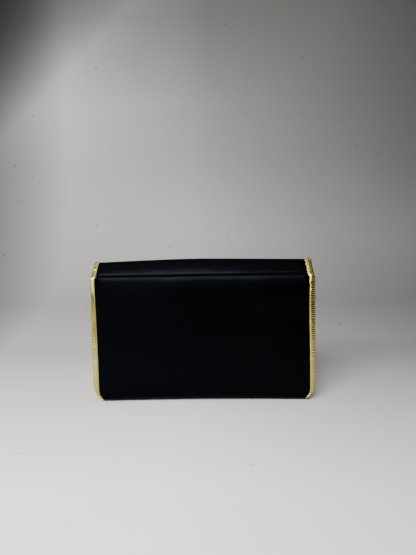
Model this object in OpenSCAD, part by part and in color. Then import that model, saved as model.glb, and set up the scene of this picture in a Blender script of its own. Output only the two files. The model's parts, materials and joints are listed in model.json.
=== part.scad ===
// Evening clutch purse, closed, standing on its base.
// +X is the bag's right as seen from the front, -Y is the front, +Z is up.
// The origin is the centre of the flat underside of the base.
// The bag is one strip of panels: front wall, base, back wall, spine and flap, joined by folds.
// Each panel is a sandwich of satin, wadding, board and lining, drawn in its own frame:
// local X is the bag's X, local Y runs along the panel, and local Z points into the bag.

/* [Overall] */
// Width over the bound side edges
bag_w = 225; // [205:1:245]
// Height of the ridge fold's axis above the table
ridge_z = 139.2; // [136:0.2:143]
// Height of the lip fold's axis above the table
lip_z = 125.5; // [123:0.5:128]
// Distance between the axes of the lip fold and the ridge fold
spine_len = 20.2; // [20:0.2:24]
// Backward lean of the flap and the front wall, in degrees
front_lean = 4; // [3:0.5:5]
// Forward lean of the back wall, in degrees
back_lean = 4.7; // [4:0.1:5.4]

/* [Layers] */
// Thickness of the outer satin
satin_t = 0.5; // [0.4:0.1:0.6]
// Thickness of the soft wadding under the satin
wadding_t = 0.9; // [0.7:0.1:1]
// Thickness of the stiffening board
board_t = 1.6; // [1.4:0.1:1.8]
// Thickness of the lining
lining_t = 0.6; // [0.5:0.1:0.7]
// Length of the turned hem at the flap's lower edge and the front wall's top
hem = 8; // [6:1:12]

/* [Gold binding] */
// Width of the binding on each face
bind_w = 6.5; // [5:0.5:8]
// Thickness of the binding on each face
bind_wall = 0.8; // [0.6:0.1:1]
// Thickness of the binding at its outer edge
bind_edge = 1.1; // [0.8:0.1:1.4]
// Outer radius of the lower corners
corner_r = 14; // [12:0.5:16]

/* [Body] */
// Width of the front wall, which the flap covers
body_w = 211; // [193:1:213]
// Distance from the lip fold's axis down to the top of the front wall
front_drop = 12; // [10:1:18]
// Height of the satin hem of the flap above the table
hem_z = 1.7; // [1.6:0.1:4]

/* [Gusset] */
// Thickness of the gusset cloth
gusset_t = 1; // [0.8:0.1:1.2]
// How far the gusset's fold reaches in at the mouth
fold_in_top = 16; // [10:1:20]
// How far the gusset's fold reaches in at the base
fold_in_base = 3; // [2:1:6]

/* [Magnetic snap] */
// Diameter of both halves
snap_d = 15; // [13:0.5:18]
// Height of the snap's centre above the flap's lower edge
snap_up = 32; // [24:1:60]
// Diameter of the stud on the flap
stud_d = 4.6; // [4:0.1:5]
// Clearance between the stud and its socket, all round
stud_play = 0.5; // [0.45:0.05:0.6]
// Thickness of the flap's half without its stud
plate_t = 1; // [0.8:0.1:1.2]
// Thickness of the socket half on the front wall
socket_t = 2.3; // [2.1:0.1:2.6]

/* [Pocket] */
// Width of the slip pocket
pocket_w = 130; // [90:5:150]
// Height of the slip pocket
pocket_h = 68; // [50:2:72]

/* [Hidden] */
$fn = 96;
eps = 0.05;      // gap between pieces of one body that lie against each other
swing_gap = 0.3; // gap between a fold and the panel that swings round it
far = 400;       // longer than anything here, for cutting
flat_hinge = 4;  // the boards stop this far from a fold's axis
stud_short = 0.5; // the stud stops this far short of the front wall

// Colours
black_satin = [0.02, 0.02, 0.03];
black_lining = [0.05, 0.05, 0.06];
gold_leather = [0.80, 0.66, 0.30];
wadding_white = [0.85, 0.84, 0.80];
board_grey = [0.55, 0.48, 0.38];
snap_gold = [0.83, 0.68, 0.35];
steel = [0.60, 0.60, 0.62];
magnet_grey = [0.20, 0.20, 0.21];

// Levels across a panel, from the outside to the inside
half_t = (satin_t + wadding_t + board_t + lining_t) / 2;
satin_in = -half_t + satin_t;
board_out = satin_in + wadding_t;
board_in = board_out + board_t;
bind_half = half_t + bind_wall;

// Directions of the panels in the side view, in degrees from +Y towards +Z
flap_a = 270 - front_lean;
spine_rise = asin((ridge_z - lip_z) / spine_len);
spine_a = 180 + spine_rise;
back_a = 90 + back_lean;
base_a = 0;
function along(a) = [cos(a), sin(a)];
function inward(a) = along(a + 90);

// Half of the angle between two panels at a fold
ridge_half = (spine_a - back_a - 180) / -2;
rear_half = (180 - back_a) / 2;
front_half = (flap_a - 180) / 2;

// Axes of the folds in the side view, as [y, z]
spine_run = spine_len * cos(spine_rise);
lip_y = (tan(front_lean) * lip_z - tan(back_lean) * ridge_z - spine_run) / 2;
lip = [lip_y, lip_z];
ridge = [lip_y + spine_run, ridge_z];
rear_fold = [ridge[0] + (ridge_z - half_t) * tan(back_lean), half_t];
snap_gap = plate_t + socket_t + swing_gap;
front_top = lip + front_drop * along(flap_a) + (2 * half_t + snap_gap) * inward(flap_a);
front_len = (front_top[1] - half_t) / cos(front_lean);
front_fold = front_top + front_len * along(flap_a);

// Lengths of the other panels
flap_len = (lip_z - hem_z) / cos(front_lean);
back_len = (ridge_z - half_t) / cos(back_lean);
base_len = rear_fold[0] - front_fold[0];

// Widths
stack_w = bag_w - 2 * bind_edge;
face_w = bag_w - 2 * bind_w;
base_w = body_w - 3;
inner_corner_r = corner_r - bind_w + 0.5;
stack_corner_r = corner_r - bind_edge;
rear_fold_w = face_w - 2 * inner_corner_r - 2 * eps;
rear_clip = (base_w - rear_fold_w) / 2;

// Snap and pocket
snap_p = flap_len - snap_up;
prong_x = snap_d / 4;
prong_w = 3;
prong_t = 0.4;
shell_t = 0.4;
plate_back_d = snap_d + 1;
plate_back_t = 0.5;
pocket_foot = 28;
pocket_gap = 1.5;
pocket_seam = 1.5;
tape_h = 5;

// ---- Frames and cutting tools ----

// Puts a panel, drawn in its own frame, at an axis and in a direction of the side view.
module place(axis, a) {
  translate([0, axis[0], axis[1]]) rotate([a, 0, 0]) children();
}

// Draws a side view shape, [along, inward], across the bag.
module across(w) {
  rotate([90, 0, 90]) linear_extrude(w, center = true) children();
}

// One flat layer of a panel, between two distances along it and two levels.
module layer(p0, p1, q0, q1, w) {
  translate([-w / 2, p0, q0]) cube([w, p1 - p0, q1 - q0]);
}

// Room for a fold's roll: narrow between the bindings, wider at the bindings.
module fold_room(p, gap) {
  translate([0, p, 0]) rotate([0, 90, 0]) {
    cylinder(r = half_t + gap, h = far, center = true);
    for (side = [-1, 1])
      translate([0, 0, side * (face_w / 2 - eps + far / 2)])
        cylinder(r = bind_half + gap, h = far, center = true);
  }
}

// Room for a fold's roll where there is no binding.
module plain_fold_room(p, gap) {
  translate([0, p, 0]) rotate([0, 90, 0]) cylinder(r = half_t + gap, h = far, center = true);
}

// Cuts a panel's inner corner along the middle of the angle at a fold. way is 1 at the panel's start.
module miter(p, half, way, gap) {
  shift = gap / sin(half);
  across(far) translate([p + way * shift, 0]) scale([way, 1])
    polygon([[0, 0], [40 * cos(half), 40 * sin(half)], [-40, 40 * sin(half)], [-40, 0]]);
}

// A side view shape with a rounded free end at distance p, up to a level of half thickness r.
module round_end(p, r) {
  translate([p, 0]) circle(r = r);
}

// Rounded outline of a bound panel, seen flat. end is its lower edge, way is 1 where that is at the far end.
module outline(w, r, start, end, way) {
  inner = end - way * r;
  translate([-w / 2, min(start, inner)]) square([w, abs(inner - start)]);
  translate([-w / 2 + r, min(inner, end)]) square([w - 2 * r, r]);
  for (side = [-1, 1]) translate([side * (w / 2 - r), inner]) circle(r = r);
}

module slab(q0, q1) {
  translate([0, 0, q0]) linear_extrude(q1 - q0) children();
}

// A fold's roll of satin over its tape.
module fold_roll(axis, w) {
  translate([0, axis[0], axis[1]]) rotate([0, 90, 0]) cylinder(r = half_t, h = w, center = true);
}

// ---- Flap ----

module flap_frame() { place(lip, flap_a) children(); }
module flap_outline() { outline(stack_w, stack_corner_r, 0, flap_len, 1); }

// Cuts every layer of the flap to its outline and clears the lip fold.
module flap_cut() {
  difference() {
    intersection() {
      children();
      slab(-half_t - 1, half_t + 1) flap_outline();
    }
    fold_room(0, swing_gap);
  }
}

module flap_satin() {
  end = flap_len - half_t;
  color(black_satin) flap_frame() flap_cut() across(stack_w) {
    translate([0, -half_t]) square([end, satin_t]);
    difference() {
      round_end(end, half_t);
      round_end(end, half_t - satin_t);
      translate([0, -half_t]) square([end, 2 * half_t]);
    }
    translate([end - hem, half_t - satin_t]) square([hem, satin_t]);
  }
}

module flap_wadding() {
  color(wadding_white) flap_frame() flap_cut()
    layer(flat_hinge, flap_len - half_t, satin_in, board_out, stack_w);
}

module flap_board() {
  color(board_grey) flap_frame() difference() {
    flap_cut() layer(flat_hinge, flap_len - half_t, board_out, board_in, stack_w);
    snap_recess(snap_p, board_in - plate_back_t - 0.1, board_in + 1);
  }
}

module flap_lining() {
  color(black_lining) flap_frame() difference() {
    flap_cut() layer(0, flap_len - half_t - hem - eps, board_in, half_t, stack_w);
    prong_slots(snap_p, board_in - 1, half_t + 1);
  }
}

// ---- Gold binding ----

// The band of a bound panel that the binding covers, seen flat, on one side.
module band(start, end, way, side) {
  intersection() {
    difference() {
      outline(bag_w, corner_r, start, end + way * bind_edge, way);
      outline(face_w, inner_corner_r, start - way, end, way);
      square([face_w - 2 * inner_corner_r, far], center = true);
    }
    translate([side > 0 ? 0 : -far, -far / 2]) square([far, far]);
  }
}

// Room inside the binding for the panel's layers, whose edges it wraps.
module bound_edge(start, end, way, side) {
  difference() {
    slab(-bind_half, bind_half) band(start, end, way, side);
    slab(-half_t - eps, half_t + eps)
      outline(stack_w + 2 * eps, stack_corner_r + eps, start - way, end + way * eps, way);
  }
}

// The binding's own roll at a fold.
module bound_roll(p, side) {
  translate([side * (face_w + bind_w) / 2, p, 0]) rotate([0, 90, 0])
    cylinder(r = bind_half, h = bind_w, center = true);
}

module flap_binding(side) {
  color(gold_leather) flap_frame() difference() {
    bound_edge(0, flap_len, 1, side);
    fold_room(0, swing_gap);
  }
}

module spine_binding(side) {
  color(gold_leather) place(ridge, spine_a) {
    difference() {
      translate([side * (face_w + bind_w) / 2, spine_len / 2, 0])
        cube([bind_w, spine_len, 2 * bind_half], center = true);
      layer(-1, spine_len + 1, -half_t - eps, half_t + eps, stack_w + 2 * eps);
      fold_room(0, swing_gap);
      miter(0, ridge_half, 1, swing_gap / 2);
    }
    bound_roll(spine_len, side);
  }
}

module back_binding(side) {
  color(gold_leather) place(rear_fold, back_a) {
    difference() {
      bound_edge(back_len, 0, -1, side);
      miter(back_len, ridge_half, -1, swing_gap / 2);
    }
    bound_roll(back_len, side);
  }
}

// ---- Spine ----

module spine_cut() {
  difference() {
    children();
    fold_room(0, swing_gap);
    fold_room(spine_len, eps);
    miter(0, ridge_half, 1, swing_gap / 2);
  }
}

module spine_layer(p0, p1, q0, q1) {
  place(ridge, spine_a) spine_cut() layer(p0, p1, q0, q1, stack_w);
}

module spine_satin() {
  color(black_satin) spine_layer(0, spine_len, -half_t, satin_in);
}

module spine_wadding() {
  color(wadding_white) spine_layer(flat_hinge, spine_len - flat_hinge, satin_in, board_out);
}

module spine_board() {
  color(board_grey) spine_layer(flat_hinge, spine_len - flat_hinge, board_out, board_in);
}

module spine_lining() {
  color(black_lining) spine_layer(0, spine_len, board_in, half_t);
}

// ---- Back wall ----

module back_layer(p0, p1, q0, q1) {
  place(rear_fold, back_a) difference() {
    intersection() {
      layer(p0, p1, q0, q1, stack_w);
      slab(-half_t - 1, half_t + 1) outline(stack_w, stack_corner_r, far / 2, 0, -1);
    }
    plain_fold_room(0, eps);
    fold_room(back_len, eps);
    miter(0, rear_half, 1, eps);
    miter(back_len, ridge_half, -1, swing_gap / 2);
  }
}

module back_satin() {
  color(black_satin) back_layer(0, back_len, -half_t, satin_in);
}

module back_wadding() {
  color(wadding_white) back_layer(flat_hinge, back_len - flat_hinge, satin_in, board_out);
}

module back_board() {
  color(board_grey) back_layer(flat_hinge, back_len - flat_hinge, board_out, board_in);
}

module back_lining() {
  color(black_lining) back_layer(0, back_len, board_in, half_t);
}

// ---- Front wall ----

module front_frame() { place(front_top, flap_a) children(); }

module front_cut() {
  difference() {
    children();
    plain_fold_room(front_len, swing_gap);
    miter(front_len, front_half, -1, swing_gap / 2);
  }
}

module front_satin() {
  inner_w = body_w - 2 * satin_t;
  color(black_satin) front_frame() difference() {
    front_cut() difference() {
      across(body_w) {
        round_end(half_t, half_t);
        translate([half_t, -half_t]) square([front_len - half_t, 2 * half_t]);
      }
      across(inner_w) {
        round_end(half_t, half_t - satin_t);
        translate([half_t, satin_in]) square([far, 2 * (half_t - satin_t)]);
        translate([half_t + hem, 0]) square([far, 2 * half_t]);
      }
    }
    prong_slots(snap_p - front_drop, -half_t - 1, board_out + 1);
  }
}

module front_layer(p0, p1, q0, q1) {
  front_frame() front_cut() layer(p0, p1, q0, q1, body_w - 2 * satin_t - 2 * eps);
}

module front_wadding() {
  color(wadding_white) difference() {
    front_layer(half_t, front_len - flat_hinge, satin_in, board_out);
    front_frame() prong_slots(snap_p - front_drop, -half_t, board_out + 1);
  }
}

module front_board() {
  color(board_grey) difference() {
    front_layer(half_t, front_len - flat_hinge, board_out, board_in);
    front_frame() snap_recess(snap_p - front_drop, board_out - 1, board_out + plate_back_t + 0.1);
  }
}

module front_lining() {
  color(black_lining) front_layer(half_t + hem + eps, front_len, board_in, half_t);
}

// ---- Base ----

// Outline of the base from above, over the span p0 to p1. Its rear corners clear the back wall's binding.
module base_plan(p0, p1, w) {
  clip_start = base_len - rear_clip;
  polygon([[-w / 2, p0], [w / 2, p0], [w / 2, min(clip_start, p1)], [w / 2 + clip_start - p1, p1],
    [p1 - clip_start - w / 2, p1], [-w / 2, min(clip_start, p1)]]);
}

module base_cut() {
  difference() {
    children();
    plain_fold_room(0, eps);
    plain_fold_room(base_len, eps);
    miter(0, front_half, 1, swing_gap / 2);
    miter(base_len, rear_half, -1, eps);
  }
}

module base_satin() {
  color(black_satin) place(front_fold, base_a) base_cut() difference() {
    slab(-half_t, half_t) base_plan(0, base_len, base_w);
    slab(satin_in, half_t + 1) base_plan(-1, base_len + 1, base_w - 2 * satin_t);
  }
}

module base_board() {
  color(board_grey) place(front_fold, base_a) base_cut() slab(satin_in + eps, board_in)
    base_plan(flat_hinge, base_len - flat_hinge, base_w - 2 * satin_t - 2 * eps);
}

module base_lining() {
  color(black_lining) place(front_fold, base_a) base_cut() slab(board_in, half_t)
    base_plan(0, base_len, base_w - 2 * satin_t - 2 * eps);
}

// ---- Folds ----

module ridge_fold_tape() { color(black_satin) fold_roll(ridge, face_w - 2 * eps); }
module lip_fold_tape() { color(black_satin) fold_roll(lip, face_w - 2 * eps); }
module front_fold_tape() { color(black_satin) fold_roll(front_fold, base_w); }
module rear_fold_tape() { color(black_satin) fold_roll(rear_fold, rear_fold_w); }

// ---- Gussets ----

// Middle of the gusset's cloth where it lies against a wall, at a height.
function wall_in(lean) = (half_t + gusset_t / 2) / cos(lean);
function front_face_y(z) = front_fold[0] + (z - half_t) * tan(front_lean) + wall_in(front_lean) + swing_gap;
function back_face_y(z) = rear_fold[0] - (z - half_t) * tan(back_lean) - wall_in(back_lean) - eps;

module gusset_bead(x, y, z) {
  translate([x, y, z]) sphere(d = gusset_t, $fn = 16);
}

// One leaf, from a wall's edge to the fold between the leaves.
module gusset_leaf(side, wall_y_low, wall_y_high, z_low, z_high) {
  edge_x = side * (body_w / 2 - gusset_t);
  mid_low = (front_face_y(z_low) + back_face_y(z_low)) / 2;
  mid_high = (front_face_y(z_high) + back_face_y(z_high)) / 2;
  hull() {
    gusset_bead(edge_x, wall_y_low, z_low);
    gusset_bead(edge_x, wall_y_high, z_high);
    gusset_bead(edge_x - side * fold_in_base, mid_low, z_low);
    gusset_bead(edge_x - side * fold_in_top, mid_high, z_high);
  }
}

module gusset(side) {
  low = 2 * half_t + gusset_t;
  high = front_top[1] - half_t;
  color(black_satin) {
    gusset_leaf(side, front_face_y(low), front_face_y(high), low, high);
    gusset_leaf(side, back_face_y(low), back_face_y(high), low, high);
  }
}

// ---- Slip pocket on the back lining ----

module pocket_panel() {
  top = pocket_foot + pocket_h;
  color(black_lining) place(rear_fold, back_a) difference() {
    layer(pocket_foot, top, half_t + eps, half_t + pocket_gap + lining_t, pocket_w);
    layer(pocket_foot + pocket_seam, top + 1, half_t - 1, half_t + pocket_gap, pocket_w - 2 * pocket_seam);
  }
}

// A gold tape folded over the pocket's top edge.
module pocket_tape() {
  top = pocket_foot + pocket_h;
  w = pocket_w - 2 * pocket_seam - 2 * eps;
  q = half_t + pocket_gap;
  color(gold_leather) place(rear_fold, back_a) difference() {
    layer(top - tape_h, top + 0.5, q - 0.4, q + lining_t + 0.4, w);
    layer(top - tape_h - 1, top + eps, q - eps, q + lining_t + eps, w + 2);
  }
}

// ---- Magnetic snap ----

module disc(p, d, q0, q1) {
  translate([0, p, q0]) cylinder(d = d, h = q1 - q0);
}

// Slots for a snap half's two prongs.
module prong_slots(p, q0, q1) {
  for (side = [-1, 1])
    translate([side * prong_x - prong_t / 2 - eps, p - prong_w / 2 - eps, q0])
      cube([prong_t + 2 * eps, prong_w + 2 * eps, q1 - q0]);
}

module prongs(p, q0, q1) {
  for (side = [-1, 1])
    translate([side * prong_x - prong_t / 2, p - prong_w / 2, q0]) cube([prong_t, prong_w, q1 - q0]);
}

// Recess in a board for a snap half's backing plate.
module snap_recess(p, q0, q1) {
  disc(p, plate_back_d + 4 * eps, q0, q1);
}

// The flap's half: a flat disc with two prongs through the lining.
module snap_plate() {
  color(snap_gold) flap_frame() {
    difference() {
      disc(snap_p, snap_d, half_t + eps / 2, half_t + plate_t);
      disc(snap_p, stud_d / 2 + 2 * eps, 0, 10);
    }
    prongs(snap_p, board_in - plate_back_t, half_t + eps);
  }
}

// The stud, riveted through the disc.
module snap_stud() {
  top = half_t + snap_gap - stud_short;
  color(snap_gold) flap_frame() {
    disc(snap_p, stud_d, half_t + plate_t + eps / 2, top);
    disc(snap_p, stud_d / 2, half_t + eps, half_t + plate_t + eps);
  }
}

module snap_plate_back() {
  color(steel) flap_frame() difference() {
    disc(snap_p, plate_back_d, board_in - plate_back_t, board_in - eps / 2);
    prong_slots(snap_p, 0, 10);
  }
}

// The front wall's half: a cup that holds a ring magnet, with a hole for the stud.
module snap_socket() {
  p = snap_p - front_drop;
  color(snap_gold) front_frame() {
    difference() {
      disc(p, snap_d, -half_t - socket_t, -half_t - eps / 2);
      disc(p, snap_d - 2 * shell_t, -half_t - socket_t + shell_t, -half_t - shell_t);
      disc(p, stud_d + 2 * stud_play, -half_t - socket_t - 1, -half_t - shell_t);
    }
    prongs(p, -half_t - eps, board_out + plate_back_t);
  }
}

module snap_magnet() {
  p = snap_p - front_drop;
  color(magnet_grey) front_frame() difference() {
    disc(p, snap_d - 2 * shell_t - 2 * eps, -half_t - socket_t + shell_t + eps, -half_t - shell_t - eps);
    disc(p, stud_d + 2 * stud_play + 2 * eps, -10, 0);
  }
}

module snap_socket_back() {
  color(steel) front_frame() difference() {
    disc(snap_p - front_drop, plate_back_d, board_out + eps / 2, board_out + plate_back_t);
    prong_slots(snap_p - front_drop, -10, 10);
  }
}

// ---- The bag ----

flap_satin();
flap_wadding();
flap_board();
flap_lining();
flap_binding(-1);  // flap_binding_left
flap_binding(1);  // flap_binding_right
spine_satin();
spine_wadding();
spine_board();
spine_lining();
spine_binding(-1);  // spine_binding_left
spine_binding(1);  // spine_binding_right
back_satin();
back_wadding();
back_board();
back_lining();
back_binding(-1);  // back_binding_left
back_binding(1);  // back_binding_right
front_satin();
front_wadding();
front_board();
front_lining();
base_satin();
base_board();
base_lining();
ridge_fold_tape();
lip_fold_tape();
front_fold_tape();
rear_fold_tape();
gusset(-1);  // gusset_left
gusset(1);  // gusset_right
pocket_panel();
pocket_tape();
snap_plate();
snap_stud();
snap_plate_back();
snap_socket();
snap_magnet();
snap_socket_back();
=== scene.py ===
"""The looks of the clutch purse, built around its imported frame.

The bag is one folded strip of panels. Pieces are lofted along that strip in the side view, (y, z),
at a level q beside it: q is negative on the outside of the bag and positive on the inside.
Lengths are in metres.
"""
import json
import math

import bmesh
import bpy
from mathutils import Matrix, Vector, noise


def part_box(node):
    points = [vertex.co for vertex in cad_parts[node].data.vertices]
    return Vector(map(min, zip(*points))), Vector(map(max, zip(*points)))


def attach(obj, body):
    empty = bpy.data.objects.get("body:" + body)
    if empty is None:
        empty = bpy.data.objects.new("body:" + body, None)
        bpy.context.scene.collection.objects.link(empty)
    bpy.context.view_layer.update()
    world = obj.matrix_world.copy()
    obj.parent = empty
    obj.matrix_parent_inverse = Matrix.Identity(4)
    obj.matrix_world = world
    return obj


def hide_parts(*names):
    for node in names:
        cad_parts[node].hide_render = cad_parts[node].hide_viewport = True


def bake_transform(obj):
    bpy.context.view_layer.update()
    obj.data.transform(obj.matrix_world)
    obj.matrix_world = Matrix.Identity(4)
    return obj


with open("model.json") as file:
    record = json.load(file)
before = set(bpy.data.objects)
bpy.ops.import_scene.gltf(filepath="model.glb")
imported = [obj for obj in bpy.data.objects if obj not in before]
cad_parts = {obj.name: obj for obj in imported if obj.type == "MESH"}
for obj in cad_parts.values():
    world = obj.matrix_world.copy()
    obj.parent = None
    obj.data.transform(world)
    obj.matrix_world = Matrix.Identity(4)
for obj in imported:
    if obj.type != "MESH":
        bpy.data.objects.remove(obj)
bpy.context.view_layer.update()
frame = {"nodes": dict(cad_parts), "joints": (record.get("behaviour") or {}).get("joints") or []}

MM = 0.001


# ---- Places from the frame ----

def joint_place(name):
    """A hinge's place in the side view."""
    joint = next(j for j in frame["joints"] if j["name"] == name)
    return Vector(joint["pos_m"][1:])


def middle(node):
    """The middle of a CAD node's box."""
    low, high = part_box(node)
    return (low + high) / 2


def size(node):
    """A CAD node's size along each axis."""
    low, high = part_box(node)
    return high - low


LIP = joint_place("flap_fold")
RIDGE = joint_place("spine_fold")
FRONT_FOLD = joint_place("mouth_open")
REAR_FOLD = middle("rear_fold_tape").yz
HALF_T = size("rear_fold_tape").z / 2
FLAP_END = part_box("flap_satin")[0].yz + Vector((HALF_T, HALF_T))
FLAP_WAY = (FLAP_END - LIP).normalized()
FRONT_TOP_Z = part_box("front_satin")[1].z - HALF_T
FRONT_TOP = FRONT_FOLD + FLAP_WAY * (FRONT_TOP_Z - FRONT_FOLD.y) / FLAP_WAY.y
FLAP_LENGTH = (FLAP_END - LIP).length + HALF_T
SPINE_LENGTH = (LIP - RIDGE).length
BACK_LENGTH = (RIDGE - REAR_FOLD).length
BAG_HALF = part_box("flap_binding_right")[1].x
FRONT_HALF = size("front_satin").x / 2
BASE_HALF = size("base_satin").x / 2
REAR_HALF = size("rear_fold_tape").x / 2
GOLD_HALF_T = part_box("back_binding_right")[1].z - RIDGE.y

FLAP_EDGE = FLAP_END + FLAP_WAY * HALF_T
FRONT_EDGE = FRONT_TOP - FLAP_WAY * HALF_T
FRONT_LENGTH = (FRONT_FOLD - FRONT_EDGE).length
BACK_WAY = (RIDGE - REAR_FOLD).normalized()
BACK_EDGE = REAR_FOLD - BACK_WAY * 0.7 * HALF_T
SNAP_GAP = (FRONT_FOLD - LIP).dot(Vector((-FLAP_WAY.y, FLAP_WAY.x))) - 2 * HALF_T

# The folded line that the panels follow, and the stations where its runs begin.
# Each run and each fold adds 1 to a station.
LINE = [FRONT_EDGE, FRONT_FOLD, REAR_FOLD, RIDGE, LIP, FLAP_EDGE]
ON_BASE, ON_BACK, ON_SPINE, ON_FLAP, LINE_END = 2, 4, 6, 8, 9
MID_BASE, MID_SPINE = 2.5, 6.5
# The satin is pressed into a groove on the spine, a little behind the lip
GROOVE = 3.1 * MM
ON_GROOVE = ON_FLAP - 1 - GROOVE / SPINE_LENGTH
# The bindings follow a line that starts at the back wall's own lower edge
BOUND_LINE = [BACK_EDGE, RIDGE, LIP, FLAP_EDGE]
BOUND_MID_SPINE, BOUND_END = 2.5, 5


# ---- The camera ----

# Fitted to the bag's outline in the photograph
CAMERA_PLACE = (0.01656, -0.40598, 0.17474)
PITCH = math.radians(7.10)   # downward
YAW = math.radians(-1.51)    # to the left
ROLL = math.radians(-1.15)


def make_camera():
    """A phone's main camera, a little above the bag and to its right, rolled slightly."""
    data = bpy.data.cameras.new("camera")
    data.sensor_width = 36
    data.lens = 26
    camera = bpy.data.objects.new("camera", data)
    bpy.context.scene.collection.objects.link(camera)
    ahead = Vector((math.sin(YAW) * math.cos(PITCH), math.cos(YAW) * math.cos(PITCH), -math.sin(PITCH)))
    level = Vector((math.cos(YAW), -math.sin(YAW), 0))
    up = level.cross(ahead)
    right = level * math.cos(ROLL) + up * math.sin(ROLL)
    top = up * math.cos(ROLL) - level * math.sin(ROLL)
    turn = Matrix((right, top, -ahead)).transposed()
    camera.matrix_world = Matrix.Translation(CAMERA_PLACE) @ turn.to_4x4()
    bpy.context.scene.camera = camera


make_camera()


# ---- Small maths ----

def smooth(t):
    """Eases from 0 to 1 as t goes from 0 to 1."""
    t = min(max(t, 0.0), 1.0)
    return t * t * (3 - 2 * t)


def mix(a, b, t):
    """From a to b as t goes from 0 to 1."""
    return a + (b - a) * t


def bell(x, centre, width):
    """1 at the centre, and near 0 beyond twice the width."""
    return math.exp(-((x - centre) / width) ** 2)


def wobble(x, y, seed, scale):
    """Smooth noise from -1 to 1. scale is the size of its features."""
    return noise.noise(Vector((x / scale, y / scale, seed)))


def inward(way):
    """Square to a run of the strip, towards the inside of the bag."""
    return Vector((-way.y, way.x))


def turned(v, angle):
    """A side-view vector turned by an angle in radians."""
    c, s = math.cos(angle), math.sin(angle)
    return Vector((v.x * c - v.y * s, v.x * s + v.y * c))


# ---- The folded strip ----

def fold_turn(line, i):
    """How far the strip turns at point i, in radians."""
    if i <= 0 or i >= len(line) - 1:
        return 0.0
    a = (line[i] - line[i - 1]).normalized()
    b = (line[i + 1] - line[i]).normalized()
    return math.atan2(a.x * b.y - a.y * b.x, a.dot(b))


def on_strip(line, u, q):
    """The place at level q of the strip at station u. Each run and each fold adds 1 to u."""
    i = min(int(u) // 2, len(line) - 2)
    t = u - 2 * i
    run = line[i + 1] - line[i]
    way = run.normalized()
    into = inward(way)
    if t <= 1 or i == len(line) - 2:
        start = max(q, 0.0) * math.tan(fold_turn(line, i) / 2)
        end = max(q, 0.0) * math.tan(fold_turn(line, i + 1) / 2)
        return line[i] + way * mix(start, run.length - end, min(t, 1.0)) + into * q
    turn = fold_turn(line, i + 1)
    if q <= 0:
        return line[i + 1] + turned(into, (t - 1) * turn) * q
    return line[i + 1] + turned(into, turn / 2) * (q / math.cos(turn / 2))


def crowded(t):
    """Moves a share of a run towards its nearer end, so that points lie closer together at the folds."""
    return t - 0.12 * math.sin(2 * math.pi * t)


def stations(line, first, last, spacing, fold_steps):
    """Stations from first to last, spacing apart on the runs, with fold_steps round each fold.

    On a run between two folds they lie closer together towards the folds.
    """
    marks = sorted({first, last} | {float(k) for k in range(math.ceil(first), math.floor(last) + 1)})
    found = []
    for a, b in zip(marks, marks[1:]):
        i = int(a) // 2
        if int(a) % 2 == 0:
            steps = max(1, round((line[i + 1] - line[i]).length * (b - a) / spacing))
        else:
            steps = fold_steps
        shares = [k / steps for k in range(steps)]
        if b - a == 1 and int(a) % 2 == 0:
            shares = [crowded(t) for t in shares]
        found += [mix(a, b, t) for t in shares]
    return found + [last]


def travelled(line, us, q):
    """Distance along the strip at level q, from the first station to each."""
    total, found = 0.0, [0.0]
    for a, b in zip(us, us[1:]):
        total += (on_strip(line, b, q) - on_strip(line, a, q)).length
        found.append(total)
    return found


# ---- Meshes ----

def new_object(name, verts, faces, material):
    """A smooth-shaded mesh object of one material."""
    mesh = bpy.data.meshes.new(name)
    mesh.from_pydata(verts, [], faces)
    tidy_mesh(mesh)
    mesh.materials.append(material)
    mesh.polygons.foreach_set("use_smooth", [True] * len(mesh.polygons))
    obj = bpy.data.objects.new(name, mesh)
    bpy.context.scene.collection.objects.link(obj)
    return obj


def tidy_mesh(mesh):
    """Merges doubled points and turns the faces outward."""
    work = bmesh.new()
    work.from_mesh(mesh)
    bmesh.ops.remove_doubles(work, verts=work.verts, dist=0.01 * MM)
    bmesh.ops.dissolve_degenerate(work, edges=work.edges, dist=0.005 * MM)
    bmesh.ops.recalc_face_normals(work, faces=work.faces)
    work.to_mesh(mesh)
    work.free()


def grid_faces(rows, columns, closed):
    """Quads between rows of points. closed joins each row's ends."""
    faces = []
    for r in range(rows - 1):
        for c in range(columns if closed else columns - 1):
            d = (c + 1) % columns
            faces.append((r * columns + c, r * columns + d, (r + 1) * columns + d, (r + 1) * columns + c))
    return faces


def loft(name, rings, material):
    """A closed solid through equal rings of points, capped at both ends."""
    count = len(rings[0])
    verts = [tuple(p) for ring in rings for p in ring]
    faces = grid_faces(len(rings), count, True)
    faces.append(tuple(range(count)))
    faces.append(tuple(range(len(verts) - count, len(verts))))
    return new_object(name, verts, faces, material)


def cloth(name, rows, material, thickness):
    """A sheet of cloth through rows of points, with a real thickness."""
    verts = [tuple(p) for row in rows for p in row]
    obj = new_object(name, verts, grid_faces(len(rows), len(rows[0]), False), material)
    skin = obj.modifiers.new("thickness", "SOLIDIFY")
    skin.thickness = thickness
    skin.offset = 0
    return obj


def capsule(verts, faces, start, end, out, radius):
    """Adds one stitch: a thread that rises from the cloth at start, runs to end and goes back in."""
    rounds, sides = 7, 6
    way = (end - start).normalized()
    side = way.cross(out).normalized()
    base = len(verts)
    for k in range(rounds):
        t = k / (rounds - 1)
        swell = math.sin(math.pi * min(max(t, 0.02), 0.98)) ** 0.4
        centre = start.lerp(end, t) + out * radius * (1.1 * math.sin(math.pi * t) - 0.5)
        for j in range(sides):
            angle = 2 * math.pi * j / sides
            verts.append(centre + (side * math.cos(angle) + out * math.sin(angle)) * radius * swell)
    for k in range(rounds - 1):
        for j in range(sides):
            a, b = base + k * sides + j, base + k * sides + (j + 1) % sides
            faces.append((a, b, b + sides, a + sides))
    faces.append(tuple(base + j for j in range(sides)))
    faces.append(tuple(base + (rounds - 1) * sides + j for j in range(sides)))


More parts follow.
